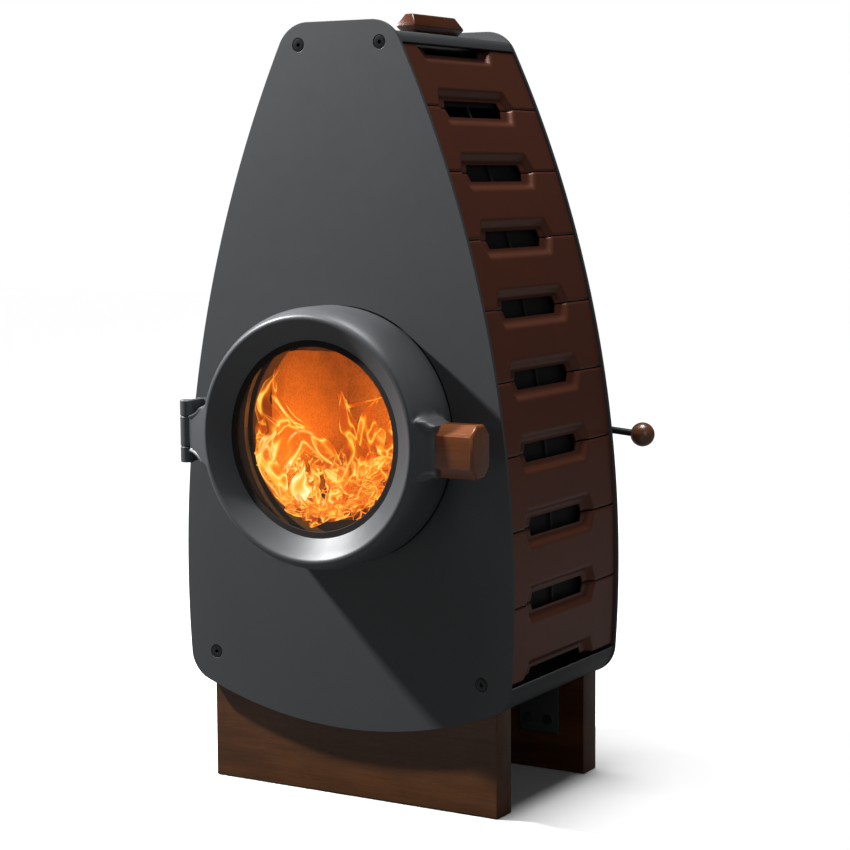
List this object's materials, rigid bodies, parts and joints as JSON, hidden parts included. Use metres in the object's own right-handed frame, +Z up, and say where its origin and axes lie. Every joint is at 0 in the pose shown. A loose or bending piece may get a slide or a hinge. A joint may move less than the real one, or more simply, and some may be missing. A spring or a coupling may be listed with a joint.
{
  "type": "wood burning stove",
  "caption": "Tall freestanding wood burning stove with upright plates, slotted side panels, a round glazed door, a rear air lever and a two-board wooden plinth.",
  "frame": {"origin": "on the floor, at the middle of the floor air inlet's lower end, midway between the two plates' outer faces", "axes": "+X to the stove's left as it faces the room, which is the viewer's right and the air lever's side; -Y towards the room, the way the door faces; +Z up from the floor"},
  "size_m": [0.6489, 0.526, 1.215],
  "materials": {
    "plate_paint": "matte heat-resistant graphite paint on laser-cut steel plate",
    "skin_paint": "matte heat-resistant dark grey paint on sheet steel",
    "cast_paint": "matte heat-resistant graphite paint on a fine-grained casting",
    "panel_paint": "satin dark brown stove paint on pressed sheet steel",
    "lever_paint": "matte black paint on steel bar",
    "box_paint": "matte black heat-resistant paint on welded sheet steel",
    "bare_steel": "bare steel, dulled",
    "screw_black": "black oxide countersunk screws",
    "cast_iron": "raw cast iron, sooty",
    "brick": "pressed vermiculite board, matte and porous",
    "wood": "oiled reddish brown hardwood",
    "glass": "clear heat-resistant ceramic glass",
    "seal": "black woven glass-fibre rope and tape",
    "brass": "turned brass, dulled"
  },
  "bodies": {
    "casing": {"front_plate": "plate_paint", "rear_plate": "plate_paint", "casing_screws": "screw_black", "tie_rods": "bare_steel", "top_cap": "skin_paint", "top_rest": "wood", "rest_screws": "bare_steel", "left_panel_1": "panel_paint", "left_panel_2": "panel_paint", "left_panel_3": "panel_paint", "left_panel_4": "panel_paint", "left_panel_5": "panel_paint", "left_panel_6": "panel_paint", "left_panel_7": "panel_paint", "left_panel_8": "panel_paint", "left_panel_9": "panel_paint", "right_panel_1": "panel_paint", "right_panel_2": "panel_paint", "right_panel_3": "panel_paint", "right_panel_4": "panel_paint", "right_panel_5": "panel_paint", "right_panel_6": "panel_paint", "right_panel_7": "panel_paint", "right_panel_8": "panel_paint", "right_panel_9": "panel_paint", "panel_frames": "bare_steel", "air_jackets": "box_paint", "base_tray": "skin_paint", "front_board": "wood", "rear_board": "wood", "board_screws": "bare_steel", "air_inlet": "bare_steel", "air_duct": "bare_steel", "firebox_body": "box_paint", "flue_collar": "box_paint", "side_bricks": "brick", "back_brick": "brick", "floor_brick": "brick", "grate": "cast_iron", "ash_pan": "bare_steel", "baffle_board": "brick", "log_guard": "cast_iron", "door_frame": "cast_paint", "hinge_bracket": "cast_paint", "hinge_pin": "bare_steel", "catch_spring": "bare_steel", "shaft_bush": "brass"},
    "door": {"door_ring": "cast_paint", "door_glass": "glass", "glass_seal": "seal", "glass_retainer": "bare_steel", "retainer_screws": "bare_steel", "door_seal": "seal", "door_grip": "wood", "grip_bolt": "bare_steel", "catch_tongue": "bare_steel"},
    "plunger": {"catch_plunger": "bare_steel"},
    "lever": {"air_lever": "lever_paint", "air_knob": "wood", "air_valve": "bare_steel"}
  },
  "joints": [
    {"name": "door_hinge", "type": "hinge", "parent": "casing", "child": "door", "pos_m": [-0.2645, -0.221, 0.569], "axis": [0, 0, -1], "range_deg": [0, 110]},
    {"name": "catch_slide", "type": "slide", "parent": "casing", "child": "plunger", "axis": [0, 0, 1], "range_m": [0, 0.005], "stiffness_N_per_m": 2000, "springref_m": -0.003, "deforming": ["catch_spring"]},
    {"name": "lever_turn", "type": "hinge", "parent": "casing", "child": "lever", "pos_m": [0, 0.194, 0.58], "axis": [0, 1, 0], "range_deg": [-14, 8]}
  ]
}
